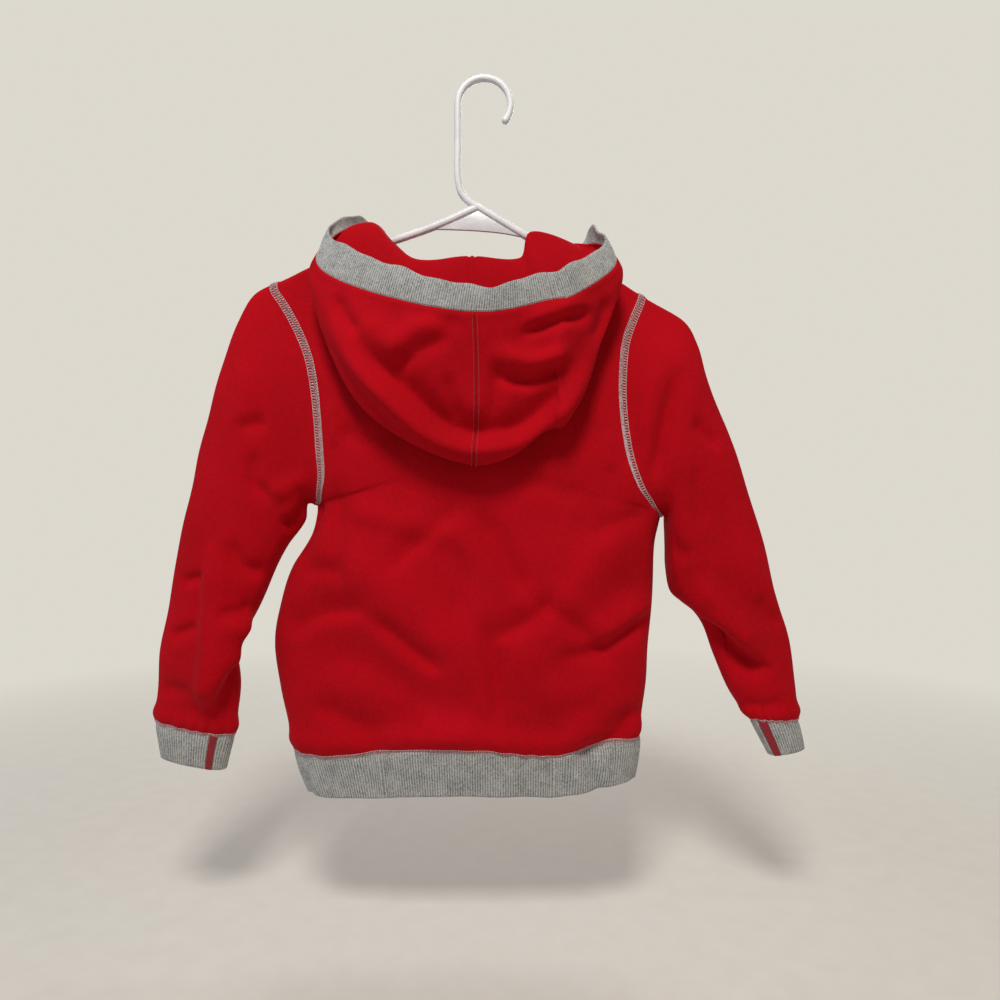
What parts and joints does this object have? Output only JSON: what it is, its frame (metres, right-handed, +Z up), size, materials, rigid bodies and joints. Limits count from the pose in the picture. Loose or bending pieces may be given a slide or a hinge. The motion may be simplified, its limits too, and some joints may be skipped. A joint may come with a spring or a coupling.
{
  "type": "kids hoodie on a hanger",
  "caption": "Child's pullover hoodie in red fleece with grey rib band, cuffs and waistband, hung back outwards on a white moulded tubular hanger",
  "frame": {"origin": "inside top of the hanger's hook, where a peg or rail carries it", "axes": "+Z up; -Y is the side that the garment's back faces; +X is the wearer's right"},
  "size_m": [0.6112, 0.1313, 0.6764],
  "materials": {
    "red_fleece": "brushed fleece, matt",
    "grey_rib": "heather rib knit, matt",
    "red_tape": "woven tape, matt",
    "white_plastic": "moulded, half gloss"
  },
  "bodies": {
    "root": {"back": "red_fleece", "front": "red_fleece", "sleeve_left": "red_fleece", "sleeve_right": "red_fleece", "hood_left": "red_fleece", "hood_right": "red_fleece", "hood_band": "grey_rib", "waistband": "grey_rib", "cuff_left": "grey_rib", "cuff_right": "grey_rib", "cuff_tape_left": "red_tape", "cuff_tape_right": "red_tape", "hanger": "white_plastic"}
  },
  "joints": []
}
